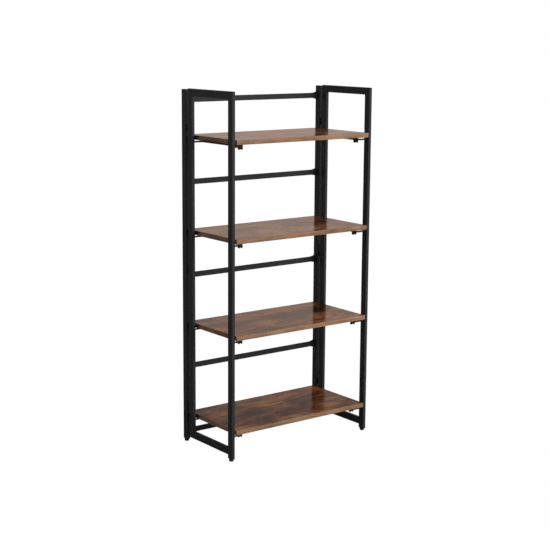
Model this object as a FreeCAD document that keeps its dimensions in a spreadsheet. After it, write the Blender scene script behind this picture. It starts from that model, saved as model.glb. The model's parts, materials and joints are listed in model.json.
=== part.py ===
import FreeCAD, Part
import os
import re

# A folding bookcase: a back frame of two uprights and five rungs, two side frames hung on it
# with barrel hinges, and four shelves that pivot at the back and clip onto wire rods in front.
# Front is -Y, left is -X, and the feet stand on Z = 0.

doc = FreeCAD.newDocument("FoldingBookcase")

# Driving dimensions in millimetres, angles in degrees
drivingSizes = {
    # whole frame
    "width": 600,
    "depth": 304,
    "height": 1250,
    "backDrop": 3,
    # rectangular tube of the frames
    "tubeWidth": 12,
    "tubeDepth": 25,
    "tubeWall": 1.2,
    "tubeCorner": 1.2,
    "barHeight": 25,
    "bottomBarLift": 11,
    # rungs of the back frame, with swaged ends
    "rungHeight": 19,
    "rungDepth": 7,
    "rungInset": 0.5,
    "rungWall": 1,
    "rungCorner": 1.2,
    "topRungDrop": 39,
    "rungAboveShelf": 162.5,
    "bottomRungZ": 33.5,
    "swageHeight": 27,
    "swageLength": 16,
    # hinges between back frame and side frames
    "hingeGap": 12.5,
    "barrelDiameter": 7,
    "barrelGap": 0.3,
    "barrelLength": 25,
    "barrelWeb": 3,
    "hingePinDiameter": 4,
    "hingePinHead": 1.5,
    "hingeInset": 120,
    # shelves
    "shelfThickness": 16,
    "bottomShelfTop": 109,
    "topShelfDrop": 157,
    "shelfOverhang": 4,
    "edgeRound": 0.8,
    # shelf pivots
    "flipClearance": 1.5,
    "pivotOverhang": 4,
    "endPlay": 0.5,
    "plateThickness": 2,
    "plateHeight": 12,
    "plateRearReach": 4,
    "plateFrontReach": 65,
    "plateTaper": 18,
    "noseShare": 0.25,
    "studDiameter": 5,
    "studTail": 3,
    "bushWall": 1,
    "bushFlange": 1.5,
    "bushFlangeWidth": 2.5,
    # wire rods under the shelf ends
    "rodDiameter": 6,
    "rodInboard": 34,
    "rodBend": 7,
    # snap clips under the shelf fronts
    "clipBendGap": 0.5,
    "clipLength": 10,
    "clipBase": 4,
    "clipWall": 4,
    "clipDrop": 18.5,
    "clipCorner": 1.5,
    # screws
    "screwDiameter": 3,
    "screwLength": 13,
    "screwHead": 6,
    "screwHeadDepth": 1,
    "nearScrewShare": 0.22,
    "farScrewShare": 0.62,
    # feet and tube plugs
    "footDiameter": 16.5,
    "footHeight": 9,
    "footRound": 3.5,
    "stemDiameter": 6,
    "stemLength": 14,
    "plugFlange": 1.5,
    "plugDepth": 18,
    "capDepth": 12,
    "capThickness": 2,
    # fits
    "runningClearance": 0.1,
    "sideClearance": 0.3,
    "overrun": 5,
}

sheet = doc.addObject("Spreadsheet::Sheet", "Sizes")
for row, (alias, value) in enumerate(drivingSizes.items(), start=1):
    sheet.set(f"A{row}", alias)
    sheet.set(f"B{row}", str(value))
    sheet.setAlias(f"B{row}", alias)
doc.recompute()

quarterTurn = 90
halfTurn = FreeCAD.Rotation(FreeCAD.Vector(0, 0, 1), 2 * quarterTurn)
shelfNames = ("bottom", "lower", "upper", "top")
sides = {"left": -1, "right": 1}


def bind(item, prop, text):
    item.setExpression(prop, re.sub(r"[A-Za-z]\w*", lambda word: "Sizes." + word.group(), text))


def place(item, point, rotation=None):
    if rotation is not None:
        item.Placement = FreeCAD.Placement(FreeCAD.Vector(), rotation)
    for axis, text in zip("xyz", point):
        bind(item, f"Placement.Base.{axis}", text)


def box(xSpan, ySpan, zSpan):
    item = doc.addObject("Part::Box", "Block")
    for prop, (low, high) in zip(("Length", "Width", "Height"), (xSpan, ySpan, zSpan)):
        bind(item, prop, f"({high}) - ({low})")
    place(item, (xSpan[0], ySpan[0], zSpan[0]))
    return item


turns = {
    "x": FreeCAD.Rotation(FreeCAD.Vector(0, 1, 0), quarterTurn),
    "y": FreeCAD.Rotation(FreeCAD.Vector(1, 0, 0), -quarterTurn),
    "z": FreeCAD.Rotation(),
}


def cylinder(diameter, axis, span, across):
    item = doc.addObject("Part::Cylinder", "Round")
    bind(item, "Radius", f"({diameter}) / 2")
    bind(item, "Height", f"({span[1]}) - ({span[0]})")
    point = list(across)
    point.insert("xyz".index(axis), span[0])
    place(item, point, turns[axis])
    return item


def wedge(xLength, yLength, nearZ, farZ):
    # a block along Y whose height changes from nearZ to farZ
    item = doc.addObject("Part::Wedge", "Wedge")
    for prop, text in {
        "Xmin": "0", "Xmax": xLength, "X2min": "0", "X2max": xLength, "Ymin": "0", "Ymax": yLength,
        "Zmin": nearZ[0], "Zmax": nearZ[1], "Z2min": farZ[0], "Z2max": farZ[1],
    }.items():
        bind(item, prop, text)
    return item


def fuse(items):
    if len(items) == 1:
        return items[0]
    item = doc.addObject("Part::MultiFuse", "Joined")
    item.Shapes = items
    return item


def cut(base, tools):
    item = doc.addObject("Part::Cut", "Trimmed")
    item.Base = base
    item.Tool = fuse(tools)
    return item


def gather(items):
    item = doc.addObject("Part::Compound", "Set")
    item.Links = items
    return item


def roundLong(base, axis, radius):
    # rounds the four edges that run along the axis
    doc.recompute()
    direction = "xyz".index(axis)
    chosen = []
    for number, edge in enumerate(base.Shape.Edges, start=1):
        start, end = (vertex.Point for vertex in edge.Vertexes)
        if abs((end - start)[direction]) > edge.Length / 2:
            chosen.append((number, radius, radius))
    item = doc.addObject("Part::Fillet", "Rounded")
    item.Base = base
    item.Edges = chosen
    return item


def roundUnder(base, radius):
    # rounds the lowest edge of an upright cylinder
    doc.recompute()
    heights = [edge.CenterOfMass.z for edge in base.Shape.Edges]
    lowest = heights.index(min(heights)) + 1
    item = doc.addObject("Part::Fillet", "Rounded")
    item.Base = base
    item.Edges = [(lowest, radius, radius)]
    return item


def tube(axis, xSpan, ySpan, zSpan, cutters=()):
    spans = [xSpan, ySpan, zSpan]
    outer = roundLong(box(*spans), axis, float(sheet.tubeCorner))
    inner = []
    for letter, (low, high) in zip("xyz", spans):
        grow = "overrun" if letter == axis else "-tubeWall"
        inner.append((f"({low}) - ({grow})", f"({high}) + ({grow})"))
    return cut(outer, [box(*inner), *cutters])


def mirrored(side, low, high):
    return (low, high) if side > 0 else (f"-({high})", f"-({low})")


def mirroredPoint(side, distance):
    return distance if side > 0 else f"-({distance})"


# Places that several pieces share
innerX = "(width / 2 - tubeWidth)"
tubeMidX = "(width / 2 - tubeWidth / 2)"
frontY = "(-depth / 2 + shelfOverhang)"
frontUprightBackY = f"({frontY} + tubeDepth)"
frontUprightMidY = f"({frontY} + tubeDepth / 2)"
backY = "(depth / 2)"
backUprightFrontY = "(depth / 2 - tubeDepth)"
backUprightMidY = "(depth / 2 - tubeDepth / 2)"
sideBackY = "(depth / 2 - tubeDepth - hingeGap)"
sideRearFrontY = "(depth / 2 - 2 * tubeDepth - hingeGap)"
sideRearMidY = "(depth / 2 - 1.5 * tubeDepth - hingeGap)"
hingeY = "(depth / 2 - tubeDepth - hingeGap + barrelGap + barrelDiameter / 2)"
tubeFootZ = "(footHeight + plugFlange)"
bottomBarZ = f"({tubeFootZ} + bottomBarLift)"
backTopZ = "(height - backDrop - capThickness)"
shelfEndX = "(width / 2 - tubeWidth - bushFlange - endPlay - plateThickness)"
shelfFrontY = "(-depth / 2)"
pivotY = "(depth / 2 - rungInset - rungDepth - flipClearance - shelfThickness / 2)"
shelfRearY = f"({pivotY} + pivotOverhang)"
rodX = f"({shelfEndX} - rodInboard)"
rodFrontY = frontUprightMidY
clipY = f"({rodFrontY} + rodBend + clipBendGap + clipLength / 2)"


def shelfTop(level):
    bays = len(shelfNames) - 1
    return f"(bottomShelfTop + (height - topShelfDrop - bottomShelfTop) * {level} / {bays})"


def pivotZ(level):
    return f"({shelfTop(level)} - shelfThickness / 2)"


def shelfUnder(level):
    return f"({shelfTop(level)} - shelfThickness)"


def rodZ(level):
    return f"({shelfUnder(level)} - clipBase - sideClearance - rodDiameter / 2)"


nodes = {}


def mitreCutter(xSpan, fullY, toward, zSpan, apexAtTop):
    # a prism over one half of a square frame corner: full height at fullY, and none past the corner
    rise = "(overrun * barHeight / tubeDepth)"
    tall = f"(barHeight + 2 * {rise})"
    apexZ = tall if apexAtTop else "0"
    across = f"({xSpan[1]}) - ({xSpan[0]}) + 2 * overrun"
    item = wedge(across, "tubeDepth + 2 * overrun", ("0", tall), (apexZ, apexZ))
    lowX = f"({xSpan[0]}) - overrun"
    highX = f"({xSpan[1]}) + overrun"
    startZ = f"({zSpan[0]}) - {rise}"
    if toward > 0:
        place(item, (lowX, f"{fullY} - overrun", startZ))
    else:
        place(item, (highX, f"{fullY} + overrun", startZ), halfTurn)
    return item


# Back frame
for sideName, side in sides.items():
    tubeX = mirrored(side, innerX, "width / 2")
    wallX = mirrored(side, f"{innerX} - overrun", f"{innerX} + tubeWidth / 2")
    bushHoles = [
        cylinder("studDiameter + 2 * runningClearance + 2 * bushWall", "x", wallX, (pivotY, pivotZ(level)))
        for level in range(len(shelfNames))
    ]
    nodes[f"back_upright_{sideName}"] = tube(
        "z", tubeX, (backUprightFrontY, backY), (tubeFootZ, backTopZ), bushHoles)

rungMids = {
    "bottom": "bottomRungZ",
    "lower": f"{shelfTop(0)} + rungAboveShelf",
    "middle": f"{shelfTop(1)} + rungAboveShelf",
    "upper": f"{shelfTop(2)} + rungAboveShelf",
    "top": "height - topRungDrop",
}
rungY = ("depth / 2 - rungInset - rungDepth", "depth / 2 - rungInset")


def swage(side, midZ):
    # the rung's end grows taller towards the upright
    item = wedge("rungDepth", "swageLength", ("-rungHeight / 2", "rungHeight / 2"),
                 ("-swageHeight / 2", "swageHeight / 2"))
    turn = FreeCAD.Rotation(FreeCAD.Vector(0, 0, 1), -quarterTurn * side)
    startX = mirroredPoint(side, f"{innerX} - swageLength")
    startY = rungY[1] if side > 0 else rungY[0]
    place(item, (startX, startY, midZ), turn)
    return item


for rungName, midZ in rungMids.items():
    rungZ = (f"{midZ} - rungHeight / 2", f"{midZ} + rungHeight / 2")
    outer = fuse([
        roundLong(box((f"-{innerX}", innerX), rungY, rungZ), "x", float(sheet.rungCorner)),
        swage(-1, midZ),
        swage(1, midZ),
    ])
    bore = box(
        (f"-{innerX} - overrun", f"{innerX} + overrun"),
        (f"{rungY[0]} + rungWall", f"{rungY[1]} - rungWall"),
        (f"{rungZ[0]} + rungWall", f"{rungZ[1]} - rungWall"),
    )
    nodes[f"back_rung_{rungName}"] = cut(outer, [bore])

# Side frames: mitred at the top corners and at the lower rear corner
for sideName, side in sides.items():
    tubeX = mirrored(side, innerX, "width / 2")
    topZ = ("height - barHeight", "height")
    lowZ = (bottomBarZ, f"{bottomBarZ} + barHeight")
    nodes[f"{sideName}_front_upright"] = tube(
        "z", tubeX, (frontY, frontUprightBackY), (tubeFootZ, "height"),
        [mitreCutter(tubeX, frontUprightBackY, -1, topZ, True)])
    nodes[f"{sideName}_rear_upright"] = tube(
        "z", tubeX, (sideRearFrontY, sideBackY), (bottomBarZ, "height"),
        [mitreCutter(tubeX, sideRearFrontY, 1, topZ, True),
         mitreCutter(tubeX, sideRearFrontY, 1, lowZ, False)])
    nodes[f"{sideName}_top_bar"] = tube(
        "y", tubeX, (frontY, sideBackY), topZ,
        [mitreCutter(tubeX, frontY, 1, topZ, False), mitreCutter(tubeX, sideBackY, -1, topZ, False)])
    nodes[f"{sideName}_bottom_bar"] = tube(
        "y", tubeX, (frontUprightBackY, sideBackY), lowZ,
        [mitreCutter(tubeX, sideBackY, -1, lowZ, True)])

# Bent wire rods that carry the shelf ends
bendTurns = {("rear", 1): 90, ("rear", -1): 0, ("front", 1): 180, ("front", -1): 270}


def rodBendPiece(end, side, midY, midZ):
    item = doc.addObject("Part::Torus", "Bend")
    bind(item, "Radius1", "rodBend")
    bind(item, "Radius2", "rodDiameter / 2")
    item.Angle3 = quarterTurn
    turn = FreeCAD.Rotation(FreeCAD.Vector(0, 0, 1), bendTurns[(end, side)])
    place(item, (mirroredPoint(side, f"{rodX} + rodBend"), midY, midZ), turn)
    return item


for level, shelfName in enumerate(shelfNames):
    for sideName, side in sides.items():
        legX = mirrored(side, f"{rodX} + rodBend", innerX)
        midZ = rodZ(level)
        nodes[f"{sideName}_rod_{shelfName}"] = fuse([
            cylinder("rodDiameter", "x", legX, (sideRearMidY, midZ)),
            rodBendPiece("rear", side, f"{sideRearMidY} - rodBend", midZ),
            cylinder("rodDiameter", "y", (f"{rodFrontY} + rodBend", f"{sideRearMidY} - rodBend"),
                     (mirroredPoint(side, rodX), midZ)),
            rodBendPiece("front", side, f"{rodFrontY} + rodBend", midZ),
            cylinder("rodDiameter", "x", legX, (rodFrontY, midZ)),
        ])

# Weld-on barrel hinges: the lower barrel on the back upright, the upper one on the side frame
hingeMids = (f"{bottomBarZ} + hingeInset", f"({bottomBarZ} + height) / 2", "height - hingeInset")
for sideName, side in sides.items():
    midX = mirroredPoint(side, tubeMidX)
    webX = mirrored(side, f"{tubeMidX} - barrelWeb / 2", f"{tubeMidX} + barrelWeb / 2")
    pinHole = "hingePinDiameter + 2 * runningClearance"
    lowers = []
    uppers = []
    pins = []
    for midZ in hingeMids:
        low = (f"{midZ} - barrelLength", f"{midZ} - runningClearance")
        high = (f"{midZ} + runningClearance", f"{midZ} + barrelLength")
        bore = (f"{low[0]} - overrun", f"{high[1]} + overrun")
        lowers.append(cut(
            fuse([cylinder("barrelDiameter", "z", low, (midX, hingeY)),
                  box(webX, (hingeY, backUprightFrontY), low)]),
            [cylinder(pinHole, "z", bore, (midX, hingeY))]))
        uppers.append(cut(
            fuse([cylinder("barrelDiameter", "z", high, (midX, hingeY)),
                  box(webX, (sideBackY, hingeY), high)]),
            [cylinder(pinHole, "z", bore, (midX, hingeY))]))
        pins.append(fuse([
            cylinder("hingePinDiameter", "z", (low[0], high[1]), (midX, hingeY)),
            cylinder("barrelDiameter", "z", (high[1], f"{high[1]} + hingePinHead"), (midX, hingeY)),
        ]))
    nodes[f"{sideName}_hinge_lower_barrels"] = gather(lowers)
    nodes[f"{sideName}_hinge_upper_barrels"] = gather(uppers)
    nodes[f"{sideName}_hinge_pins"] = gather(pins)

# Flanged bushes in the back uprights
for sideName, side in sides.items():
    bushes = []
    for level in range(len(shelfNames)):
        across = (pivotY, pivotZ(level))
        boreDiameter = "studDiameter + 2 * runningClearance"
        sleeveDiameter = f"{boreDiameter} + 2 * bushWall"
        flangeX = mirrored(side, f"{innerX} - bushFlange", innerX)
        sleeveX = mirrored(side, innerX, f"{innerX} + tubeWall + bushFlange")
        boreX = mirrored(side, f"{innerX} - overrun", f"{innerX} + overrun")
        bushes.append(cut(
            fuse([cylinder(f"{sleeveDiameter} + 2 * (bushFlangeWidth - bushWall)", "x", flangeX, across),
                  cylinder(sleeveDiameter, "x", sleeveX, across)]),
            [cylinder(boreDiameter, "x", boreX, across)]))
    nodes[f"{sideName}_pivot_bushes"] = gather(bushes)

# Shelves with pivot plates, studs, clips and screws
plateInnerX = shelfEndX
plateOuterX = f"({shelfEndX} + plateThickness)"
plateY = (f"{pivotY} - plateFrontReach", f"{pivotY} + plateRearReach")


def plateNose(side, level):
    # trims the lower front of the plate to a slant
    lowZ = "-plateHeight / 2"
    item = wedge("plateThickness + 2 * overrun", "plateTaper", (lowZ, "plateHeight * noseShare"), (lowZ, lowZ))
    startX = f"{mirrored(side, plateInnerX, plateOuterX)[0]} - overrun"
    place(item, (startX, plateY[0], pivotZ(level)))
    return item


for level, shelfName in enumerate(shelfNames):
    across = (pivotY, pivotZ(level))
    plates = []
    studs = []
    clips = []
    screws = []
    boardHoles = []
    for side in sides.values():
        plateX = mirrored(side, plateInnerX, plateOuterX)
        plateBlock = box(plateX, plateY, (f"{across[1]} - plateHeight / 2", f"{across[1]} + plateHeight / 2"))
        throughX = mirrored(side, f"{plateInnerX} - overrun", f"{plateOuterX} + overrun")
        plateHoles = [plateNose(side, level), cylinder("studDiameter", "x", throughX, across)]
        studX = mirrored(side, plateInnerX, f"{innerX} + tubeWall + studTail")
        studs.append(cylinder("studDiameter", "x", studX, across))
        for share in ("nearScrewShare", "farScrewShare"):
            screwAt = (f"{pivotY} - {share} * plateFrontReach", across[1])
            shankX = mirrored(side, f"{plateOuterX} - screwLength", f"{plateOuterX} - screwHeadDepth")
            headX = mirrored(side, f"{plateOuterX} - screwHeadDepth", plateOuterX)
            headHoleX = mirrored(side, f"{plateOuterX} - screwHeadDepth", f"{plateOuterX} + overrun")
            screws.append(fuse([
                cylinder("screwDiameter", "x", shankX, screwAt),
                cylinder("screwHead", "x", headX, screwAt),
            ]))
            plateHoles.append(cylinder("screwDiameter", "x", throughX, screwAt))
            plateHoles.append(cylinder("screwHead", "x", headHoleX, screwAt))
            boardHoles.append(cylinder("screwDiameter", "x", shankX, screwAt))
        plates.append(cut(plateBlock, plateHoles))

        # a clip is a base with two prongs, one each side of the rod
        clipMidX = mirroredPoint(side, rodX)
        slotHalf = "(rodDiameter / 2 + sideClearance)"
        clipX = (f"{clipMidX} - {slotHalf} - clipWall", f"{clipMidX} + {slotHalf} + clipWall")
        clipSpanY = (f"{clipY} - clipLength / 2", f"{clipY} + clipLength / 2")
        underZ = shelfUnder(level)
        clipAt = (clipMidX, clipY)
        baseZ = f"({underZ} - clipBase)"
        slot = box((f"{clipMidX} - {slotHalf}", f"{clipMidX} + {slotHalf}"),
                   (f"{clipSpanY[0]} - overrun", f"{clipSpanY[1]} + overrun"),
                   (f"{underZ} - clipDrop - overrun", baseZ))
        shankZ = (f"{baseZ} + screwHeadDepth", f"{baseZ} + screwLength")
        headZ = (baseZ, f"{baseZ} + screwHeadDepth")
        block = box(clipX, clipSpanY, (f"{underZ} - clipDrop", underZ))
        clips.append(cut(roundLong(block, "y", float(sheet.clipCorner)), [
            slot,
            cylinder("screwDiameter", "z", (baseZ, f"{underZ} + overrun"), clipAt),
            cylinder("screwHead", "z", headZ, clipAt),
        ]))
        screws.append(fuse([
            cylinder("screwDiameter", "z", shankZ, clipAt),
            cylinder("screwHead", "z", headZ, clipAt),
        ]))
        boardHoles.append(cylinder("screwDiameter", "z", shankZ, clipAt))

    board = roundLong(
        box((f"-{shelfEndX}", shelfEndX), (shelfFrontY, shelfRearY), (shelfUnder(level), shelfTop(level))),
        "x", float(sheet.edgeRound))
    nodes[f"{shelfName}_shelf_board"] = cut(board, boardHoles)
    nodes[f"{shelfName}_pivot_plates"] = gather(plates)
    nodes[f"{shelfName}_pivot_studs"] = gather(studs)
    nodes[f"{shelfName}_shelf_clips"] = gather(clips)
    nodes[f"{shelfName}_shelf_screws"] = gather(screws)

# Tube plugs, screw feet and the caps of the back uprights
plugs = []
caps = []
for sideName, side in sides.items():
    midX = mirroredPoint(side, tubeMidX)
    tubeX = mirrored(side, innerX, "width / 2")
    insideX = mirrored(side, f"{innerX} + tubeWall", "width / 2 - tubeWall")
    for endName, midY in (("front", frontUprightMidY), ("back", backUprightMidY)):
        outsideY = (f"{midY} - tubeDepth / 2", f"{midY} + tubeDepth / 2")
        insideY = (f"{outsideY[0]} + tubeWall", f"{outsideY[1]} - tubeWall")
        stemHole = "stemDiameter + 2 * runningClearance"
        stemHoleZ = ("footHeight - overrun", f"{tubeFootZ} + plugDepth + overrun")
        plugs.append(cut(
            fuse([roundLong(box(tubeX, outsideY, ("footHeight", tubeFootZ)), "z", float(sheet.tubeCorner)),
                  box(insideX, insideY, (tubeFootZ, f"{tubeFootZ} + plugDepth"))]),
            [cylinder(stemHole, "z", stemHoleZ, (midX, midY))]))
        footPad = cylinder("footDiameter", "z", ("0", "footHeight - runningClearance"), (midX, midY))
        nodes[f"{endName}_{sideName}_foot"] = fuse([
            roundUnder(footPad, float(sheet.footRound)),
            cylinder("stemDiameter", "z", ("footRound", "footHeight + stemLength"), (midX, midY)),
        ])
    outsideY = (backUprightFrontY, backY)
    capTop = box(tubeX, outsideY, (backTopZ, f"{backTopZ} + capThickness"))
    caps.append(fuse([
        roundLong(capTop, "z", float(sheet.tubeCorner)),
        box(insideX, (f"{outsideY[0]} + tubeWall", f"{outsideY[1]} - tubeWall"),
            (f"{backTopZ} - capDepth", backTopZ)),
    ]))
nodes["tube_plugs"] = gather(plugs)
nodes["back_upright_caps"] = gather(caps)

for name, item in nodes.items():
    item.Label = name
doc.recompute()

failed = [item.Label for item in doc.Objects if "Invalid" in item.State or "Error" in item.State]
if failed:
    raise RuntimeError("failed objects: " + ", ".join(failed))
for name, item in nodes.items():
    if item.Shape.isNull() or not item.Shape.isValid() or not item.Shape.Solids:
        raise RuntimeError("bad shape: " + name)

os.makedirs("parts", exist_ok=True)
for name, item in nodes.items():
    item.Shape.exportStep(f"parts/{name}.step")
print(f"{len(nodes)} nodes, {sum(len(item.Shape.Solids) for item in nodes.values())} solids")
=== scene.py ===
import json
import math

import bmesh
import bpy
from mathutils import Matrix, Vector


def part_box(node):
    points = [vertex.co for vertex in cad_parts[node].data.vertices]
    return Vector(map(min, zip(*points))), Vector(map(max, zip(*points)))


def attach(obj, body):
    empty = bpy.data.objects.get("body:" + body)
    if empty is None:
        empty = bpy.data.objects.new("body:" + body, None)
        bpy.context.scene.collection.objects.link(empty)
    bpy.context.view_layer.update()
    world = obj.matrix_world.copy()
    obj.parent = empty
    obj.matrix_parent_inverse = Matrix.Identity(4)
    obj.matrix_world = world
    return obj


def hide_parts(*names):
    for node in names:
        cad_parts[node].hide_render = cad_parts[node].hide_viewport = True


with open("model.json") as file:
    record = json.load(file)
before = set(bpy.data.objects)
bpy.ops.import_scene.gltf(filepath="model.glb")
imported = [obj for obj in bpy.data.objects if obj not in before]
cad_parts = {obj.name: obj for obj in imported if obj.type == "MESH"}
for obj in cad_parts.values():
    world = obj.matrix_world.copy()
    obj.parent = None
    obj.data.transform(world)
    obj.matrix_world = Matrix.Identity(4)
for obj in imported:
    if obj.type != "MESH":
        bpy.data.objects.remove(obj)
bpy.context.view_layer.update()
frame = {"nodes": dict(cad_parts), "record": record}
nodes = frame["nodes"]
shelfNames = ("bottom", "lower", "upper", "top")
sides = {"left": -1, "right": 1}  # sign of X
millimetre = 0.001
quarterTurn = math.radians(90)
print("frame loaded,", len(nodes), "CAD nodes")


def mm(value):
    return value * millimetre


# Colours and shader nodes

def linear(hexColour):
    channels = [int(hexColour[i:i + 2], 16) / 255 for i in (1, 3, 5)]
    light = [c / 12.92 if c <= 0.04045 else ((c + 0.055) / 1.055) ** 2.4 for c in channels]  # the sRGB curve
    return (*light, 1.0)


def grey(level):
    return (level, level, level, 1.0)


def hexStops(tones):
    return [(place, linear(colour)) for place, colour in tones.items()]


def greyStops(shades):
    return [(place, grey(level)) for place, level in shades.items()]


def limits(word, pair):
    return {f"{word} Min": pair[0], f"{word} Max": pair[1]}


def setInputs(tree, node, inputs):
    for name, value in inputs.items():
        if isinstance(value, bpy.types.NodeSocket):
            tree.links.new(value, node.inputs[name])
        else:
            node.inputs[name].default_value = value


def addNode(tree, kind, inputs=None, stops=(), **settings):
    node = tree.nodes.new(kind)
    for name, value in settings.items():
        setattr(node, name, value)
    for number, (place, colour) in enumerate(stops):
        elements = node.color_ramp.elements  # a ramp has two of them from the start
        element = elements[number] if number < len(elements) else elements.new(place)
        element.position = place
        element.color = colour
    setInputs(tree, node, inputs or {})
    return node


def startMaterial(name):
    material = bpy.data.materials.new(name)
    material.use_nodes = True
    tree = material.node_tree
    return material, tree, tree.nodes["Principled BSDF"]


# Materials. Tones and shades are pairs of a pattern's value and the colour or brightness it gives there.

powderCoatLook = {
    "tones": {0.38: "#1d2024", 0.62: "#2d3034"},
    "roughness": (0.46, 0.58),
    "specular": 0.42,
    "cloudSize": 90,          # mm
    "cloudDetail": 3,         # octaves of noise
    "cloudSpan": (0.3, 0.7),  # noise values that give the two roughnesses
    "peelSize": 1.8,          # mm, about twice as coarse as real orange peel, so that it shows up close
    "peelDetail": 1,
    "peelDepth": 0.06,        # mm
    "peelStrength": 0.6,
    "peelShare": 0.6,         # of the tone, and the cloud gives the rest
}


def makePowderCoat():
    # Black polyester powder coat, sprayed and baked: satin, nearly even in colour, with a faint orange peel
    look = powderCoatLook
    material, tree, shader = startMaterial("powderCoatBlack")
    place = addNode(tree, "ShaderNodeTexCoord").outputs["Object"]
    cloud = addNode(tree, "ShaderNodeTexNoise", {
        "Vector": place, "Scale": 1 / mm(look["cloudSize"]), "Detail": look["cloudDetail"]})
    peel = addNode(tree, "ShaderNodeTexNoise", {
        "Vector": place, "Scale": 1 / mm(look["peelSize"]), "Detail": look["peelDetail"]})
    rough = addNode(tree, "ShaderNodeMapRange", {
        "Value": cloud.outputs["Fac"],
        **limits("From", look["cloudSpan"]), **limits("To", look["roughness"])})
    bump = addNode(tree, "ShaderNodeBump", {
        "Height": peel.outputs["Fac"], "Strength": look["peelStrength"], "Distance": mm(look["peelDepth"])})
    tone = addNode(tree, "ShaderNodeMix", {
        "Factor": look["peelShare"], "A": cloud.outputs["Fac"], "B": peel.outputs["Fac"]}, data_type="FLOAT")
    shade = addNode(tree, "ShaderNodeValToRGB", {"Fac": tone.outputs["Result"]}, hexStops(look["tones"]))
    setInputs(tree, shader, {
        "Base Color": shade.outputs["Color"], "Roughness": rough.outputs["Result"],
        "Normal": bump.outputs["Normal"], "Specular IOR Level": look["specular"]})
    return material


mouldedPlasticLook = {
    "mouldedBlackPlastic": {0.3: "#111111", 0.7: "#1f1f1f"},
    "mouldedBlackNylon": {0.3: "#1a1a1a", 0.7: "#1f1f1f"},
    "roughness": 0.5,
    "grainSize": 0.9,    # mm, spark-eroded mould texture
    "grainDetail": 2,
    "grainDepth": 0.03,  # mm
    "grainStrength": 0.5,
}


def makeMouldedPlastic(name):
    # Injection-moulded polypropylene or nylon: matt, with the fine texture of an eroded mould
    look = mouldedPlasticLook
    material, tree, shader = startMaterial(name)
    place = addNode(tree, "ShaderNodeTexCoord").outputs["Object"]
    grain = addNode(tree, "ShaderNodeTexNoise", {
        "Vector": place, "Scale": 1 / mm(look["grainSize"]), "Detail": look["grainDetail"]})
    bump = addNode(tree, "ShaderNodeBump", {
        "Height": grain.outputs["Fac"],
        "Strength": look["grainStrength"], "Distance": mm(look["grainDepth"])})
    shade = addNode(tree, "ShaderNodeValToRGB", {"Fac": grain.outputs["Fac"]}, hexStops(look[name]))
    setInputs(tree, shader, {
        "Base Color": shade.outputs["Color"], "Roughness": look["roughness"],
        "Normal": bump.outputs["Normal"]})
    return material


blackOxideLook = {
    "tones": {0.3: "#242426", 0.7: "#3a3a3c"},
    "roughness": (0.3, 0.45),
    "mottleSize": 0.4,   # mm
    "mottleDetail": 2,
}


def makeBlackOxide():
    # Black-oxidised steel of screws, studs and pins: dark metal, finely mottled by the bath
    look = blackOxideLook
    material, tree, shader = startMaterial("blackOxideSteel")
    place = addNode(tree, "ShaderNodeTexCoord").outputs["Object"]
    mottle = addNode(tree, "ShaderNodeTexNoise", {
        "Vector": place, "Scale": 1 / mm(look["mottleSize"]), "Detail": look["mottleDetail"]})
    shade = addNode(tree, "ShaderNodeValToRGB", {"Fac": mottle.outputs["Fac"]}, hexStops(look["tones"]))
    rough = addNode(tree, "ShaderNodeMapRange", {
        "Value": mottle.outputs["Fac"], **limits("To", look["roughness"])})
    setInputs(tree, shader, {
        "Base Color": shade.outputs["Color"], "Roughness": rough.outputs["Result"], "Metallic": 1.0})
    return material


laminateLook = {
    # layers of the print: mm along the shelf, mm across it, octaves of noise
    "waver": (160, 90, 2),      # slow bends of the grain
    "grain": (90, 2.6, 6),      # fine streaks, drawn a little coarser than real ones
    "patches": (150, 75, 5),    # broad tone
    "tint": (310, 75, 2),       # from red-brown to tan
    "figure": (120, 24, 3),     # darker figure
    "pores": (38, 1.1, 2),      # short dark lines, drawn about twice as wide as real pores
    "contour": (760, 105, 1),   # one swell of the growth rings
    "grainRoughness": 0.6,
    "patchRoughness": 0.58,
    "figureDistortion": 0.8,
    "sway": (8, 11),            # mm along and across, how far the grain bends
    "feather": (36, 11),        # mm along and across, how far the grain draws stains out into streaks
    "ringCount": 20,            # rings in the full height of a swell
    "knotSpacing": (240, 92),   # mm along and across
    "knotChance": (0.5, 0.7),   # limits that leave a knot in about two cells of five
    "knotReach": 0.5,           # of a cell, where the rings no longer bend round its knot
    "knotSwell": 0.08,          # how far a knot pushes the rings aside, as a share of a swell's height
    "knotShades": {0.03: 0.9, 0.13: 0.0},  # cover of the knot's colour, from its middle outwards
    "knot": "#1d0f09",
    "tones": {0.38: "#391b0d", 0.5: "#764022", 0.62: "#b27043"},
    "tints": {0.38: (1.0, 0.85, 0.82, 1.0), 0.62: (1.05, 1.28, 1.3, 1.0)},  # factors, not colours
    "grainShades": {0.32: 0.6, 0.62: 1.1},
    "figureShades": {0.3: 0.65, 0.52: 1.0},
    "ringShades": {0.55: 1.06, 0.95: 0.52},
    "poreShades": {0.37: 0.44, 0.44: 1.032},
    "roughSpan": (0.3, 0.7),    # grain values that give the two roughnesses
    "roughness": (0.2, 0.13),
    "bumpDepth": 0.05,          # mm
    "bumpStrength": 0.1,
    "shelfStep": 327.7,         # mm between shelves
    "printStep": (870, 413, 590),  # mm, so that each shelf shows another stretch of the print
    "printStart": 4,            # stretches that are passed over before the bottom shelf
}


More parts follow.
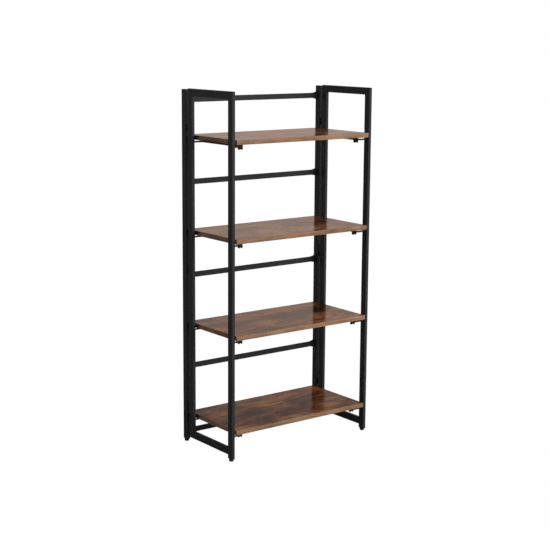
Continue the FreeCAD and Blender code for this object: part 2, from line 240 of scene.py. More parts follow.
def shelfPlace(tree):
    # Object coordinates, moved along the print by the number of the shelf
    look = laminateLook
    place = addNode(tree, "ShaderNodeTexCoord").outputs["Object"]
    parts = addNode(tree, "ShaderNodeSeparateXYZ", {"Vector": place})
    level = addNode(tree, "ShaderNodeMath", {
        0: parts.outputs["Z"], 1: mm(look["shelfStep"])}, operation="DIVIDE")
    whole = addNode(tree, "ShaderNodeMath", {0: level.outputs[0]}, operation="ROUND")
    number = addNode(tree, "ShaderNodeMath", {0: whole.outputs[0], 1: look["printStart"]}, operation="ADD")
    step = [mm(value) for value in look["printStep"]]
    moved = addNode(tree, "ShaderNodeVectorMath", {
        0: number.outputs[0], 1: step, 2: place}, operation="MULTIPLY_ADD")
    return moved.outputs[0]


def makeLaminate():
    # Melamine laminate printed as rustic board: red-brown streaks, dark knots, a glossy resin face
    look = laminateLook
    material, tree, shader = startMaterial("rusticLaminate")
    place = shelfPlace(tree)
    noiseMiddle = (0.5, 0.5, 0.5)

    def perLength(along, across):
        return (1 / mm(along), 1 / mm(across), 1.0)

    def printLayer(name, source, **more):  # noise that is stretched along the shelf
        along, across, octaves = look[name]
        drawn = addNode(tree, "ShaderNodeMapping", {"Vector": source, "Scale": perLength(along, across)})
        return addNode(tree, "ShaderNodeTexNoise", {
            "Vector": drawn.outputs[0], "Scale": 1.0, "Detail": octaves, **more})

    def pushed(source, noise, reach):  # a place moved by up to half the reach either way
        away = addNode(tree, "ShaderNodeVectorMath", {
            0: noise.outputs["Color"], 1: noiseMiddle}, operation="SUBTRACT")
        moved = addNode(tree, "ShaderNodeVectorMath", {
            0: away.outputs[0], 1: (mm(reach[0]), mm(reach[1]), 0), 2: source}, operation="MULTIPLY_ADD")
        return moved.outputs[0]

    swayed = pushed(place, printLayer("waver", place), look["sway"])
    grain = printLayer("grain", swayed, Roughness=look["grainRoughness"])
    feathered = pushed(swayed, grain, look["feather"])
    patches = printLayer("patches", feathered, Roughness=look["patchRoughness"])
    tint = printLayer("tint", feathered)
    figure = printLayer("figure", feathered, Distortion=look["figureDistortion"])
    pores = printLayer("pores", swayed)
    contour = printLayer("contour", swayed)

    # knots, one at the middle of each cell that is kept, and growth rings that bend round them
    spaced = addNode(tree, "ShaderNodeMapping", {"Vector": swayed, "Scale": perLength(*look["knotSpacing"])})
    cells = addNode(tree, "ShaderNodeTexVoronoi", {
        "Vector": spaced.outputs[0], "Scale": 1.0}, voronoi_dimensions="2D")
    chance = addNode(tree, "ShaderNodeSeparateColor", {"Color": cells.outputs["Color"]})
    kept = addNode(tree, "ShaderNodeMapRange", {
        "Value": chance.outputs["Red"], **limits("From", look["knotChance"])})
    swell = addNode(tree, "ShaderNodeMapRange", {
        "Value": cells.outputs["Distance"], **limits("From", (0, look["knotReach"])),
        **limits("To", (look["knotSwell"], 0))}, interpolation_type="SMOOTHSTEP")
    bent = addNode(tree, "ShaderNodeMath", {
        0: swell.outputs[0], 1: kept.outputs[0], 2: contour.outputs["Fac"]}, operation="MULTIPLY_ADD")
    turns = addNode(tree, "ShaderNodeMath", {
        0: bent.outputs[0], 1: math.tau * look["ringCount"]}, operation="MULTIPLY")
    rings = addNode(tree, "ShaderNodeMath", {0: turns.outputs[0]}, operation="SINE")

    base = addNode(tree, "ShaderNodeValToRGB", {"Fac": patches.outputs["Fac"]}, hexStops(look["tones"]))
    shade = base.outputs["Color"]
    for pattern, stops in (
            (tint.outputs["Fac"], look["tints"].items()),
            (grain.outputs["Fac"], greyStops(look["grainShades"])),
            (figure.outputs["Fac"], greyStops(look["figureShades"])),
            (rings.outputs[0], greyStops(look["ringShades"])),
            (pores.outputs["Fac"], greyStops(look["poreShades"]))):
        ramp = addNode(tree, "ShaderNodeValToRGB", {"Fac": pattern}, stops)
        darker = addNode(tree, "ShaderNodeMix", {
            "Factor": 1.0, "A": shade, "B": ramp.outputs["Color"]}, data_type="RGBA", blend_type="MULTIPLY")
        shade = darker.outputs["Result"]
    spot = addNode(tree, "ShaderNodeValToRGB", {
        "Fac": cells.outputs["Distance"]}, greyStops(look["knotShades"]))
    cover = addNode(tree, "ShaderNodeMath", {
        0: spot.outputs["Color"], 1: kept.outputs["Result"]}, operation="MULTIPLY")
    knotted = addNode(tree, "ShaderNodeMix", {
        "Factor": cover.outputs[0], "A": shade, "B": linear(look["knot"])}, data_type="RGBA")
    rough = addNode(tree, "ShaderNodeMapRange", {
        "Value": grain.outputs["Fac"],
        **limits("From", look["roughSpan"]), **limits("To", look["roughness"])})
    bump = addNode(tree, "ShaderNodeBump", {
        "Height": grain.outputs["Fac"], "Strength": look["bumpStrength"], "Distance": mm(look["bumpDepth"])})
    setInputs(tree, shader, {
        "Base Color": knotted.outputs["Result"], "Roughness": rough.outputs["Result"],
        "Normal": bump.outputs["Normal"]})
    return material


edgeBandLook = {
    "tones": {0.38: "#70503a", 0.6: "#a07b5d"},
    "roughness": 0.35,
    "grainSize": (110, 2.2),  # mm, along and up the edge
    "grainDetail": 5,
    "patchSize": 120,         # mm
    "patchDetail": 3,
    "patchShare": 0.5,        # of the tone, and the grain gives the rest
}


def makeEdgeBand():
    # Printed ABS edge band, glued onto the board's edges: lighter and more even than the face
    look = edgeBandLook
    material, tree, shader = startMaterial("edgeBandBrown")
    place = shelfPlace(tree)
    along, up = look["grainSize"]
    streaks = addNode(tree, "ShaderNodeMapping", {
        "Vector": place, "Scale": (1 / mm(along), 1 / mm(along), 1 / mm(up))})
    grain = addNode(tree, "ShaderNodeTexNoise", {
        "Vector": streaks.outputs[0], "Scale": 1.0, "Detail": look["grainDetail"]})
    patch = addNode(tree, "ShaderNodeTexNoise", {
        "Vector": place, "Scale": 1 / mm(look["patchSize"]), "Detail": look["patchDetail"]})
    tone = addNode(tree, "ShaderNodeMix", {
        "Factor": look["patchShare"],
        "A": grain.outputs["Fac"], "B": patch.outputs["Fac"]}, data_type="FLOAT")
    shade = addNode(tree, "ShaderNodeValToRGB", {"Fac": tone.outputs["Result"]}, hexStops(look["tones"]))
    setInputs(tree, shader, {"Base Color": shade.outputs["Color"], "Roughness": look["roughness"]})
    return material


powderCoat = makePowderCoat()
blackPlastic = makeMouldedPlastic("mouldedBlackPlastic")
bushNylon = makeMouldedPlastic("mouldedBlackNylon")
blackOxide = makeBlackOxide()
laminate = makeLaminate()
edgeBand = makeEdgeBand()
slotMaterials = {
    "frame_coat": powderCoat,
    "plate_steel": powderCoat,
    "shelf_laminate": laminate,
    "black_plastic": blackPlastic,
    "foot_plastic": blackPlastic,
    "bush_nylon": bushNylon,
    "dark_steel": blackOxide,
}
nodeSlots = {item["node"]: item["material_slot"] for item in frame["record"]["subparts"]}
for name, item in nodes.items():
    item.data.materials.clear()
    item.data.materials.append(slotMaterials[nodeSlots[name]])
print("materials made and given to the CAD nodes")


# Mesh helpers

roundAngle = 35  # degrees between faces that look smooth on a round piece
flatAngle = 15   # degrees, keeps wide faces flat beside their rounded edges


def finishMesh(name, mesh, body, material=None, stands=(), smoothAngle=roundAngle):
    piece = bpy.data.objects.new(name, mesh)
    bpy.context.scene.collection.objects.link(piece)
    if material is not None:
        mesh.materials.clear()
        mesh.materials.append(material)
    mesh.shade_smooth()
    mesh.set_sharp_from_angle(angle=math.radians(smoothAngle))
    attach(piece, body)
    if stands:
        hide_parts(*stands)


def meshFrom(shape, name):
    bmesh.ops.recalc_face_normals(shape, faces=shape.faces)
    mesh = bpy.data.meshes.new(name)
    shape.to_mesh(mesh)
    shape.free()
    return mesh


def block(shape, low, high):
    made = bmesh.ops.create_cube(shape, size=1.0)["verts"]
    bmesh.ops.scale(shape, vec=Vector(high) - Vector(low), verts=made)
    bmesh.ops.translate(shape, vec=(Vector(high) + Vector(low)) / 2, verts=made)
    return list(dict.fromkeys(edge for vert in made for edge in vert.link_edges))  # each edge once


def roundEdges(shape, edges, size, steps):
    circle = 0.5  # the bevel's word for a round profile
    bmesh.ops.bevel(shape, geom=edges, offset=size, segments=steps, affect="EDGES", profile=circle)


def lathe(shape, profile, segments, flutes=1):
    # turns (radius, height, flute depth) points about the Z axis, closes both ends, gives back the top face
    rings = []
    for radius, height, depth in profile:
        ring = []
        for i in range(segments):
            turn = math.tau * i / segments
            here = radius - depth * (1 - math.cos(flutes * turn)) / 2
            ring.append(shape.verts.new((here * math.cos(turn), here * math.sin(turn), height)))
        rings.append(ring)
    for lower, upper in zip(rings, rings[1:]):
        for i in range(segments):
            j = (i + 1) % segments
            shape.faces.new((lower[i], lower[j], upper[j], upper[i]))
    shape.faces.new(list(reversed(rings[0])))
    return shape.faces.new(rings[-1])


# Shelf boards: a laminated core inside a ring of edge band

boardLook = {
    "bandThickness": 1.0,  # mm
    "bandRound": 0.8,      # mm
    "bandSteps": 3,
    "coreRound": 0.3,      # mm
    "coreSteps": 2,
}


def makeBoard(shelfName):
    look = boardLook
    node = f"{shelfName}_shelf_board"
    body = f"{shelfName}_shelf"
    low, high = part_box(node)
    inset = Vector((mm(look["bandThickness"]), mm(look["bandThickness"]), 0))
    core = bmesh.new()
    edges = block(core, low + inset, high - inset)
    roundEdges(core, edges, mm(look["coreRound"]), look["coreSteps"])
    name = f"{shelfName}_shelf_core"
    finishMesh(name, meshFrom(core, name), body, laminate, [node], flatAngle)

    band = bmesh.new()
    loops = []  # up the outer wall and down the inner one
    for near, far, heights in (
            (low, high, (low.z, high.z)),
            (low + inset, high - inset, (high.z, low.z))):
        corners = ((near.x, near.y), (far.x, near.y), (far.x, far.y), (near.x, far.y))
        loops += [[band.verts.new((x, y, height)) for x, y in corners] for height in heights]
    for start, end in zip(loops, loops[1:] + loops[:1]):
        for i in range(len(start)):
            j = (i + 1) % len(start)
            band.faces.new((start[i], start[j], end[j], end[i]))
    outer = set(loops[0] + loops[1])
    rounded = [edge for edge in band.edges if outer.issuperset(edge.verts)]
    bmesh.ops.recalc_face_normals(band, faces=band.faces)
    roundEdges(band, rounded, mm(look["bandRound"]), look["bandSteps"])
    name = f"{shelfName}_shelf_band"
    finishMesh(name, meshFrom(band, name), body, edgeBand, [], flatAngle)


for shelfName in shelfNames:
    makeBoard(shelfName)
print("boards and edge bands made")


# Screw feet: a rounded glide with a fluted rim to turn it by, and a threaded stem

footLook = {
    "hollowDepth": 0.4,    # mm, in the middle of the sole
    "hollowShares": (1 / 3, 5 / 12),  # of the radius, where the hollow is full and where it ends
    "underRound": 3.5,     # mm
    "roundSteps": 6,
    "rimStart": 4.2,       # mm above the floor
    "rimRound": 0.6,       # mm
    "rimCorner": 0.2,      # mm
    "height": 8.9,         # mm
    "flutes": 18,
    "fluteDepth": 0.4,     # mm
    "stemDiameter": 6.0,   # mm
    "threadPitch": 1.25,   # mm
    "threadDepth": 0.5,    # mm
    "segments": 108,
}


def makeFoot(footName):
    look = footLook
    node = f"{footName}_foot"
    low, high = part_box(node)
    radius = (high.x - low.x) / 2
    hollow, sole = (radius * share for share in look["hollowShares"])
    profile = [(hollow, mm(look["hollowDepth"]), 0), (sole, 0, 0)]
    curve = mm(look["underRound"])
    for i in range(look["roundSteps"] + 1):
        turn = quarterTurn * i / look["roundSteps"]
        profile.append((radius - curve + curve * math.sin(turn), curve - curve * math.cos(turn), 0))
    top = mm(look["height"])
    start = mm(look["rimStart"])
    rim = mm(look["rimRound"])
    corner = mm(look["rimCorner"])
    flute = mm(look["fluteDepth"])
    profile += [
        (radius, start, 0), (radius, start + rim, flute), (radius, top - rim, flute),
        (radius - corner, top - corner, flute), (radius - rim, top, 0)]
    stem = mm(look["stemDiameter"]) / 2
    root = stem - mm(look["threadDepth"])
    pitch = mm(look["threadPitch"])
    profile.append((stem, top, 0))
    turns = int((high.z - low.z - top) / pitch)
    for i in range(turns):
        profile += [(root, top + pitch * (i + 0.5), 0), (stem, top + pitch * (i + 1), 0)]
    profile.append((root, high.z - low.z, 0))
    shape = bmesh.new()
    lathe(shape, profile, look["segments"], look["flutes"])
    bmesh.ops.translate(shape, vec=((low.x + high.x) / 2, (low.y + high.y) / 2, low.z), verts=shape.verts)
    name = f"{footName}_screw_foot"
    finishMesh(name, meshFrom(shape, name), node, blackPlastic, [node])


for footName in ("front_left", "front_right", "back_left", "back_right"):
    makeFoot(footName)
print("feet made")


# Caps in the open tops of the back uprights: a crowned lid on a ribbed plug

capLook = {
    "lid": 2.0,        # mm
    "edgeRound": 0.9,  # mm
    "edgeSteps": 4,
    "wall": 1.2,       # mm, the tube's
    "ribs": 3,
    "ribDepth": 0.25,  # mm
    "ribHeight": 2.0,  # mm
}


def makeCaps():
    look = capLook
    node = "back_upright_caps"
    low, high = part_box(node)
    lidLow = high.z - mm(look["lid"])
    wall = mm(look["wall"])
    shape = bmesh.new()

    def slab(tube, inset, bottom, top):
        near, far = tube
        return block(shape, (near.x + inset, near.y + inset, bottom), (far.x - inset, far.y - inset, top))

    lidMiddle = (lidLow + high.z) / 2
    rounded = []
    for sideName in sides:
        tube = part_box(f"back_upright_{sideName}")
        lidEdges = slab(tube, 0, lidLow, high.z)
        rounded += [edge for edge in lidEdges if max(vert.co.z for vert in edge.verts) > lidMiddle]
        slab(tube, wall + mm(look["ribDepth"]), low.z, lidLow)
        for i in range(look["ribs"]):
            ribLow = low.z + (lidLow - low.z) * (i + 0.5) / look["ribs"]
            slab(tube, wall, ribLow, ribLow + mm(look["ribHeight"]))
    roundEdges(shape, rounded, mm(look["edgeRound"]), look["edgeSteps"])
    name = "upright_top_caps"
    finishMesh(name, meshFrom(shape, name), "frame", blackPlastic, [node], flatAngle)


makeCaps()
print("caps made")


# Geometry Nodes for what repeats or follows a path: rods, clips, screws and weld beads

def newTree(name, sizes):
    tree = bpy.data.node_groups.new(name, "GeometryNodeTree")
    tree.interface.new_socket("Geometry", in_out="INPUT", socket_type="NodeSocketGeometry")
    for size in sizes:
        tree.interface.new_socket(size, in_out="INPUT", socket_type="NodeSocketFloat")
    tree.interface.new_socket("Finish", in_out="INPUT", socket_type="NodeSocketMaterial")
    tree.interface.new_socket("Geometry", in_out="OUTPUT", socket_type="NodeSocketGeometry")
    return tree, tree.nodes.new("NodeGroupInput"), tree.nodes.new("NodeGroupOutput")


def closeTree(tree, source, target, geometry):
    real = addNode(tree, "GeometryNodeRealizeInstances", {"Geometry": geometry})
    painted = addNode(tree, "GeometryNodeSetMaterial", {
        "Geometry": real.outputs["Geometry"], "Material": source.outputs["Finish"]})
    setInputs(tree, target, {"Geometry": painted.outputs["Geometry"]})


def onPoints(tree, source, instance, stretch=(1, 1, 1)):
    # one instance on every point, turned by the point's own angles
    turn = addNode(tree, "GeometryNodeInputNamedAttribute", {"Name": "turn"}, data_type="FLOAT_VECTOR")
    placed = addNode(tree, "GeometryNodeInstanceOnPoints", {
        "Points": source.outputs["Geometry"], "Instance": instance,
        "Rotation": turn.outputs["Attribute"], "Scale": stretch})
    return placed.outputs["Instances"]


def grow(name, tree, points, edges, turns, sizes, material):
    # points, edges and turns go into the tree, and one plain mesh comes out
    start = bpy.data.meshes.new(name + "_start")
    start.from_pydata(points, edges, [])
    angles = start.attributes.new("turn", "FLOAT_VECTOR", "POINT")
    for item, turn in zip(angles.data, turns):
        item.vector = turn
    holder = bpy.data.objects.new(name + "_start", start)
    bpy.context.scene.collection.objects.link(holder)
    modifier = holder.modifiers.new("grow", "NODES")
    modifier.node_group = tree
    values = {**sizes, "Finish": material}
    for socket in tree.interface.items_tree:
        if socket.in_out == "INPUT" and socket.name in values:
            modifier[socket.identifier] = values[socket.name]
    bpy.context.view_layer.update()
    evaluated = holder.evaluated_get(bpy.context.evaluated_depsgraph_get())
    mesh = bpy.data.meshes.new_from_object(evaluated)
    mesh.name = name
    bpy.data.objects.remove(holder)
    return mesh


def repeated(name, tree, places, sizes, material):
    # places are pairs of a point and its angles
    points = [point for point, turn in places]
    turns = [turn for point, turn in places]
    return grow(name, tree, points, [], turns, sizes, material)


def treeOf(mesh, sizes):
    # a tree that repeats a model of unit size, stretched to the three sizes it is given
    tree, source, target = newTree(mesh.name, list(sizes))
    mesh.transform(Matrix.Diagonal([1 / size for size in sizes.values()]).to_4x4())
    model = bpy.data.objects.new(mesh.name + "_model", mesh)
    info = addNode(tree, "GeometryNodeObjectInfo", {"Object": model})
    stretch = addNode(tree, "ShaderNodeCombineXYZ", {
        axis: source.outputs[size] for axis, size in zip("XYZ", sizes)})
    placed = onPoints(tree, source, info.outputs["Geometry"], stretch.outputs["Vector"])
    closeTree(tree, source, target, placed)
    return tree, model


# Wire rods under the shelves, bent at both ends

rodLook = {
    "bend": 7.0,      # mm, to the middle of the wire
    "bendSteps": 10,
    "wireSides": 28,
}
rodLow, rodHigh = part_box("right_rod_top")
rodRadius = (rodHigh.z - rodLow.z) / 2


def rodCorners(sideName, shelfName):
    # from the front upright, along under the shelf, to the rear upright
    low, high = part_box(f"{sideName}_rod_{shelfName}")
    wallX = high.x if sideName == "right" else low.x
    runX = low.x + rodRadius if sideName == "right" else high.x - rodRadius
    frontY = low.y + rodRadius
    rearY = high.y - rodRadius
    midZ = (low.z + high.z) / 2
    return [(wallX, frontY, midZ), (runX, frontY, midZ), (runX, rearY, midZ), (wallX, rearY, midZ)]


def rodTree():
    # a wire swept along corners that are bent to a radius
    look = rodLook
    tree, source, target = newTree("bentWire", ["wireRadius", "bendRadius"])
    route = addNode(tree, "GeometryNodeMeshToCurve", {"Mesh": source.outputs["Geometry"]})
    bent = addNode(tree, "GeometryNodeFilletCurve", {
        "Curve": route.outputs["Curve"], "Radius": source.outputs["bendRadius"],
        "Count": look["bendSteps"]}, mode="POLY")
    wire = addNode(tree, "GeometryNodeCurvePrimitiveCircle", {
        "Resolution": look["wireSides"], "Radius": source.outputs["wireRadius"]})
    swept = addNode(tree, "GeometryNodeCurveToMesh", {
        "Curve": bent.outputs["Curve"], "Profile Curve": wire.outputs["Curve"], "Fill Caps": True})
    closeTree(tree, source, target, swept.outputs["Mesh"])
    return tree


def makeRods():
    points = []
    edges = []
    stands = []
    for sideName in sides:
        for shelfName in shelfNames:
            first = len(points)
            points += rodCorners(sideName, shelfName)
            edges += [(i, i + 1) for i in range(first, len(points) - 1)]
            stands.append(f"{sideName}_rod_{shelfName}")
    sizes = {"wireRadius": rodRadius, "bendRadius": mm(rodLook["bend"])}
    name = "shelf_wire_rods"
    mesh = grow(name, rodTree(), points, edges, [], sizes, powderCoat)
    finishMesh(name, mesh, "frame", stands=stands)
    print("rods made,", len(stands))


makeRods()


# Snap clips under the front corners of the shelves

clipLook = {
    "wall": 4.0,        # mm, one prong
    "rodSlack": 0.3,    # mm, between a prong and the rod
    "base": 4.0,        # mm
    "tip": 3.0,         # mm, height of the tapered tips
    "tipTaper": 0.7,    # mm, off the outside of a prong
    "tipCut": 0.5,      # mm, off its outer corner
    "leadIn": 1.05,     # mm, off its inside
    "edgeRound": 0.25,  # mm
    "edgeSteps": 2,
}
clipLow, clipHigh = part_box("top_shelf_clips")
clipSizes = {
    "width": 2 * (rodRadius + mm(clipLook["wall"] + clipLook["rodSlack"])),
    "length": clipHigh.y - clipLow.y,
    "drop": clipHigh.z - clipLow.z,
}
clipMidX = clipHigh.x - clipSizes["width"] / 2


def clipMesh(width, length, drop):
    # a saddle with two prongs, its top face at Z = 0
    look = clipLook
    half = width / 2
    slot = half - mm(look["wall"])
    base = mm(look["base"])
    tip = mm(look["tip"])
    taper = mm(look["tipTaper"])
    cut = mm(look["tipCut"])
    prong = [
        (-half, 0), (-half, -drop + tip), (-half + taper, -drop + cut), (-half + taper + cut, -drop),
        (-slot - mm(look["leadIn"]), -drop), (-slot, -drop + tip), (-slot, -base)]
    outline = prong + [(-x, z) for x, z in reversed(prong)]
    shape = bmesh.new()
    face = shape.faces.new([shape.verts.new((x, -length / 2, z)) for x, z in outline])
    grown = bmesh.ops.extrude_face_region(shape, geom=[face])["geom"]
    rear = [item for item in grown if isinstance(item, bmesh.types.BMVert)]
    bmesh.ops.translate(shape, vec=(0, length, 0), verts=rear)
    bmesh.ops.recalc_face_normals(shape, faces=shape.faces)
    ends = [edge for edge in shape.edges if abs(edge.verts[0].co.y - edge.verts[1].co.y) < length / 2]
    roundEdges(shape, ends, mm(look["edgeRound"]), look["edgeSteps"])
    return meshFrom(shape, "snapClip")


def makeClips():
    tree, model = treeOf(clipMesh(*clipSizes.values()), clipSizes)
    for shelfName in shelfNames:
        node = f"{shelfName}_shelf_clips"
        low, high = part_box(node)
        midY = (low.y + high.y) / 2
        places = [((side * clipMidX, midY, high.z), (0, 0, 0)) for side in sides.values()]
        name = f"{shelfName}_snap_clips"
        mesh = repeated(name, tree, places, clipSizes, blackPlastic)
        finishMesh(name, mesh, f"{shelfName}_shelf", None, [node], flatAngle)
    bpy.data.objects.remove(model)
    print("clips made")


makeClips()


# Screws in the pivot plates and through the clips

screwLook = {
    "headDiameter": 6.0,    # mm
    "headThickness": 1.0,   # mm
    "headCorner": 0.2,      # mm
    "coreDiameter": 2.2,    # mm
    "threadDiameter": 3.0,  # mm
    "length": 13.0,         # mm, head included
    "pitch": 1.2,           # mm
    "tipPitches": 2,        # length of the tip, in pitches
    "tipShare": 1 / 6,      # of the core's radius
    "crossReach": 1.7,      # mm
    "crossWidth": 0.8,      # mm
    "crossDepth": 0.7,      # mm
    "crossTaper": 0.6,      # share of its width that the cross keeps at its floor
    "segments": 24,
    "plateReaches": (14.3, 40.3),  # mm from the pivot to a plate's screws
}
screwSizes = {
    "headWidth": mm(screwLook["headDiameter"]),
    "headBreadth": mm(screwLook["headDiameter"]),
    "length": mm(screwLook["length"]),
}


def screwMesh():
    # a cross-recessed wood screw that points down, the top of its head at Z = 0
    look = screwLook
    head = mm(look["headDiameter"]) / 2
    under = -mm(look["headThickness"])
    corner = mm(look["headCorner"])
    core = mm(look["coreDiameter"]) / 2
    thread = mm(look["threadDiameter"]) / 2
    pitch = mm(look["pitch"])
    tipEnd = -mm(look["length"])
    threadStart = tipEnd + look["tipPitches"] * pitch
    profile = [(core * look["tipShare"], tipEnd, 0), (core, threadStart, 0)]
    turns = round((under - threadStart) / pitch) - 1  # the last turn is left plain
    for i in range(turns):
        base = threadStart + pitch * i
        profile += [(thread, base + pitch / 2, 0), (core, base + pitch, 0)]
    profile += [(core, under, 0), (head, under, 0), (head, -corner, 0), (head - corner, 0, 0)]
    shape = bmesh.new()
    lid = lathe(shape, profile, look["segments"])
    rim = list(lid.edges)
    bmesh.ops.delete(shape, geom=[lid], context="FACES_ONLY")

    # the cross, cut into the open lid
    reach = mm(look["crossReach"])
    half = mm(look["crossWidth"]) / 2
    outline = []
    for turn in range(4):
        for x, y in ((reach, half), (half, half), (half, reach)):
            for i in range(turn):
                x, y = -y, x
            outline.append((x, y))
    upper = [shape.verts.new((x, y, 0)) for x, y in outline]
    taper = look["crossTaper"]
    lower = [shape.verts.new((x * taper, y * taper, -mm(look["crossDepth"]))) for x, y in outline]
    count = len(outline)
    lips = [shape.edges.new((upper[i], upper[(i + 1) % count])) for i in range(count)]
    bmesh.ops.triangle_fill(shape, use_beauty=True, edges=rim + lips)
    for i in range(count):
        j = (i + 1) % count
        shape.faces.new((upper[i], upper[j], lower[j], lower[i]))
    shape.faces.new(lower)
    return meshFrom(shape, "crossScrew")


def makeScrews():
    tree, model = treeOf(screwMesh(), screwSizes)
    for shelfName in shelfNames:
        plateLow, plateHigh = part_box(f"{shelfName}_pivot_plates")
        studLow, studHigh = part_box(f"{shelfName}_pivot_studs")
        pivot = (studLow + studHigh) / 2
        low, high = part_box(f"{shelfName}_shelf_clips")
        slotRoof = high.z - mm(clipLook["base"])
        places = []
        for sideName, side in sides.items():
            plateX = plateHigh.x if sideName == "right" else plateLow.x
            for reach in screwLook["plateReaches"]:
                places.append(((plateX, pivot.y - mm(reach), pivot.z), (0, side * quarterTurn, 0)))
            places.append(((side * clipMidX, (low.y + high.y) / 2, slotRoof), (2 * quarterTurn, 0, 0)))
        name = f"{shelfName}_cross_screws"
        mesh = repeated(name, tree, places, screwSizes, blackOxide)
        finishMesh(name, mesh, f"{shelfName}_shelf", None, [f"{shelfName}_shelf_screws"])
    bpy.data.objects.remove(model)
    print("screws made")


makeScrews()


# Weld beads at the ends of rods and rungs, and beside the webs of the hinges

weldLook = {
    "rodBead": 1.3,      # mm, radius of the bead round a rod's end
    "ringSides": 32,
    "rungBead": 1.0,     # mm
    "rungInset": 0.5,    # mm, keeps the bead inside the frame's back face
    "cornerSteps": 4,
    "hingeBead": 0.8,    # mm
    "webHalf": 1.5,      # mm, half the thickness of a hinge's web
    "barrelLength": 25,  # mm
    "beadSides": 12,
}


def ringPath(tree, source):
    ring = addNode(tree, "GeometryNodeCurvePrimitiveCircle", {
        "Resolution": weldLook["ringSides"], "Radius": source.outputs["ringRadius"]})
    return ring.outputs["Curve"]


def framePath(tree, source):
    corners = addNode(tree, "GeometryNodeCurvePrimitiveQuadrilateral", {
        "Width": source.outputs["tall"], "Height": source.outputs["deep"]})
    rounded = addNode(tree, "GeometryNodeFilletCurve", {
        "Curve": corners.outputs["Curve"], "Radius": source.outputs["beadRadius"],
        "Count": weldLook["cornerSteps"]}, mode="POLY")
    return rounded.outputs["Curve"]


def linePath(tree, source):
    end = addNode(tree, "ShaderNodeCombineXYZ", {"Z": source.outputs["long"]})
    line = addNode(tree, "GeometryNodeCurvePrimitiveLine", {"End": end.outputs["Vector"]})
    return line.outputs["Curve"]


def makeBeads(name, path, places, bead, sizes):
    # one bead of weld along the path at every place
    tree, source, target = newTree(name, [*sizes, "beadRadius"])
    section = addNode(tree, "GeometryNodeCurvePrimitiveCircle", {
        "Resolution": weldLook["beadSides"], "Radius": source.outputs["beadRadius"]})
    swept = addNode(tree, "GeometryNodeCurveToMesh", {
        "Curve": path(tree, source), "Profile Curve": section.outputs["Curve"], "Fill Caps": True})
    closeTree(tree, source, target, onPoints(tree, source, swept.outputs["Mesh"]))
    mesh = repeated(name, tree, places, {**sizes, "beadRadius": mm(weldLook[bead])}, powderCoat)
    finishMesh(name, mesh, "frame")
    print(name, len(places))


def makeWelds():
    rodPlaces = []
    rungPlaces = []
    hingePlaces = []
    for sideName in sides:
        for shelfName in shelfNames:
            corners = rodCorners(sideName, shelfName)
            rodPlaces += [(end, (0, quarterTurn, 0)) for end in (corners[0], corners[-1])]
        for rungName in ("bottom", "lower", "middle", "upper", "top"):
            low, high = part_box(f"back_rung_{rungName}")
            endX = high.x if sideName == "right" else low.x
            rungPlaces.append(((endX, (low.y + high.y) / 2, (low.z + high.z) / 2), (0, quarterTurn, 0)))
        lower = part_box(f"{sideName}_hinge_lower_barrels")
        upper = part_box(f"{sideName}_hinge_upper_barrels")
        webX = (lower[0].x + lower[1].x) / 2
        for (low, high), wallY in ((lower, lower[1].y), (upper, upper[0].y)):
            last = high.z - mm(weldLook["barrelLength"])
            for startZ in (low.z, (low.z + last) / 2, last):
                for edge in (-1, 1):
                    hingePlaces.append(((webX + edge * mm(weldLook["webHalf"]), wallY, startZ), (0, 0, 0)))

    low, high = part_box("back_rung_top")
    makeBeads("rod_weld_beads", ringPath, rodPlaces, "rodBead", {"ringRadius": rodRadius})
    makeBeads("rung_weld_beads", framePath, rungPlaces, "rungBead", {
        "tall": high.z - low.z, "deep": high.y - low.y - 2 * mm(weldLook["rungInset"])})
    makeBeads("hinge_weld_beads", linePath, hingePlaces, "hingeBead", {"long": mm(weldLook["barrelLength"])})


makeWelds()


# Camera, floor and lights

cameraLook = {
    "place": (-2685.6, -3518.9, 1446.8),  # mm, fitted to the object's edges in the photograph
    "yaw": -0.6501,      # radians from +Y, negative to the right
    "pitch": -0.179,     # radians
    "roll": 0.0068,      # radians
    "focalPixels": 1271.6,
    "centreRow": 260,    # pixels, the row that the lens axis meets
    "framePixels": 550,
    "sensor": 36.0,      # mm
    "farthest": 100,     # m
}


def makeCamera():
    look = cameraLook
    data = bpy.data.cameras.new("photoCamera")
    data.sensor_width = look["sensor"]
    data.lens = look["focalPixels"] * look["sensor"] / look["framePixels"]
    data.shift_y = (look["centreRow"] - look["framePixels"] / 2) / look["framePixels"]
    data.clip_end = look["farthest"]
    camera = bpy.data.objects.new("photoCamera", data)
    bpy.context.scene.collection.objects.link(camera)
    right = Vector((math.cos(look["yaw"]), math.sin(look["yaw"]), 0))
    ahead = Vector((-math.sin(look["yaw"]), math.cos(look["yaw"]), 0))
    forward = ahead * math.cos(look["pitch"]) + Vector((0, 0, math.sin(look["pitch"])))
    up = right.cross(forward)
    rolledRight = right * math.cos(look["roll"]) + up * math.sin(look["roll"])
    rolledUp = up * math.cos(look["roll"]) - right * math.sin(look["roll"])
    turn = Matrix((rolledRight, rolledUp, -forward)).transposed()
    camera.matrix_world = Matrix.Translation(Vector(look["place"]) * millimetre) @ turn.to_4x4()
    bpy.context.scene.camera = camera


floorLook = {
    "size": 60.0,    # m
    "shown": 1.0,    # brightness that the camera sees
    "albedo": 0.3,
    "roughness": 0.9,
}


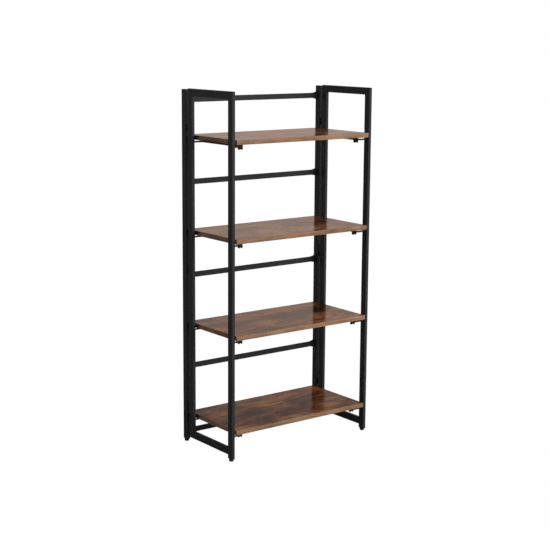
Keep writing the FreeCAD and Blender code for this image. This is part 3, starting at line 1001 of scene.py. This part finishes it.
def makeFloor():
    look = floorLook
    shape = bmesh.new()
    bmesh.ops.create_grid(shape, x_segments=1, y_segments=1, size=look["size"] / 2)
    mesh = bpy.data.meshes.new("paleFloor")
    shape.to_mesh(mesh)
    shape.free()
    floor = bpy.data.objects.new("paleFloor", mesh)
    bpy.context.scene.collection.objects.link(floor)
    material, tree, shader = startMaterial("paleFloorPaint")  # matt floor paint, plain white to the camera
    setInputs(tree, shader, {
        "Base Color": grey(look["albedo"]), "Roughness": look["roughness"], "Specular IOR Level": 0.0})
    glow = addNode(tree, "ShaderNodeEmission", {"Color": grey(1.0), "Strength": look["shown"]})
    seen = addNode(tree, "ShaderNodeLightPath")
    mixed = addNode(tree, "ShaderNodeMixShader", {
        0: seen.outputs["Is Camera Ray"], 1: shader.outputs["BSDF"], 2: glow.outputs[0]})
    setInputs(tree, tree.nodes["Material Output"], {"Surface": mixed.outputs[0]})
    mesh.materials.append(material)


studioLook = {
    "shown": 1.0,            # brightness that the camera sees
    "backdrop": "#c4b0a5",   # warm and pale all round, which the tops of the shelves mirror
    "gap": "#6c6967",        # dim band between backdrop and ceiling, which the bottom shelf mirrors
    "ceiling": "#969696",
    "edges": (0.235, 0.3, 0.6),  # sines of the angles above the horizon where these three stand
    "keyTurn": 25,           # degrees to the right of the front, where a wide soft glow is brightest
    "keyHeight": 25,         # degrees
    "keyReach": (60, 18),    # degrees from its middle where it starts and where it is full
    "keyLight": (0.0, 1.05),   # added there
    "flagTurn": -60,         # degrees, a dark cloth on the left that keeps the left faces dark
    "flagHeight": 10,        # degrees
    "flagReach": (70, 20),   # degrees
    "flagLight": (1.0, 0.42),  # share of the light that passes there
}


def makeStudio():
    look = studioLook
    world = bpy.data.worlds.new("studioWorld")
    world.use_nodes = True
    tree = world.node_tree
    direction = addNode(tree, "ShaderNodeTexCoord").outputs["Generated"]
    height = addNode(tree, "ShaderNodeSeparateXYZ", {"Vector": direction}).outputs["Z"]
    colour = addNode(tree, "ShaderNodeValToRGB", {"Fac": height}, [
        (edge, linear(look[name])) for name, edge in zip(("backdrop", "gap", "ceiling"), look["edges"])])
    soft = {}
    for name in ("key", "flag"):
        turn = math.radians(look[name + "Turn"])
        tilt = math.radians(look[name + "Height"])
        aim = (math.sin(turn) * math.cos(tilt), -math.cos(turn) * math.cos(tilt), math.sin(tilt))
        nearness = addNode(tree, "ShaderNodeVectorMath", {0: direction, 1: aim}, operation="DOT_PRODUCT")
        reach = [math.cos(math.radians(angle)) for angle in look[name + "Reach"]]
        edged = addNode(tree, "ShaderNodeMapRange", {
            "Value": nearness.outputs["Value"],
            **limits("From", reach), **limits("To", look[name + "Light"])}, interpolation_type="SMOOTHSTEP")
        soft[name] = edged.outputs["Result"]
    dimmed = addNode(tree, "ShaderNodeVectorMath", {
        0: colour.outputs["Color"], 1: soft["flag"]}, operation="MULTIPLY")
    lit = addNode(tree, "ShaderNodeVectorMath", {
        0: dimmed.outputs["Vector"], 1: soft["key"]}, operation="ADD")
    light = addNode(tree, "ShaderNodeBackground", {"Color": lit.outputs["Vector"], "Strength": 1.0})
    shown = addNode(tree, "ShaderNodeBackground", {"Color": grey(1.0), "Strength": look["shown"]})
    seen = addNode(tree, "ShaderNodeLightPath")
    mixed = addNode(tree, "ShaderNodeMixShader", {
        0: seen.outputs["Is Camera Ray"], 1: light.outputs[0], 2: shown.outputs[0]})
    setInputs(tree, tree.nodes["World Output"], {"Surface": mixed.outputs[0]})
    bpy.context.scene.world = world


softboxLook = {
    "place": (0.5, -3.4, 1.6),  # m
    "aim": (0, 0, 0.65),        # m
    "size": (1.4, 1.8),         # m
    "power": 60,                # W
}


def makeSoftbox():
    look = softboxLook
    data = bpy.data.lights.new("frontSoftbox", "AREA")
    data.shape = "RECTANGLE"
    data.size, data.size_y = look["size"]
    data.energy = look["power"]
    softbox = bpy.data.objects.new("frontSoftbox", data)
    bpy.context.scene.collection.objects.link(softbox)
    direction = Vector(look["aim"]) - Vector(look["place"])
    turn = direction.to_track_quat("-Z", "Y").to_matrix()
    softbox.matrix_world = Matrix.Translation(look["place"]) @ turn.to_4x4()
    softbox.visible_camera = False
    softbox.visible_glossy = False  # the glow round it shows in the gloss instead


makeCamera()
makeFloor()
makeStudio()
makeSoftbox()
bpy.context.scene.view_settings.view_transform = "Standard"
print("camera, floor and lights set")
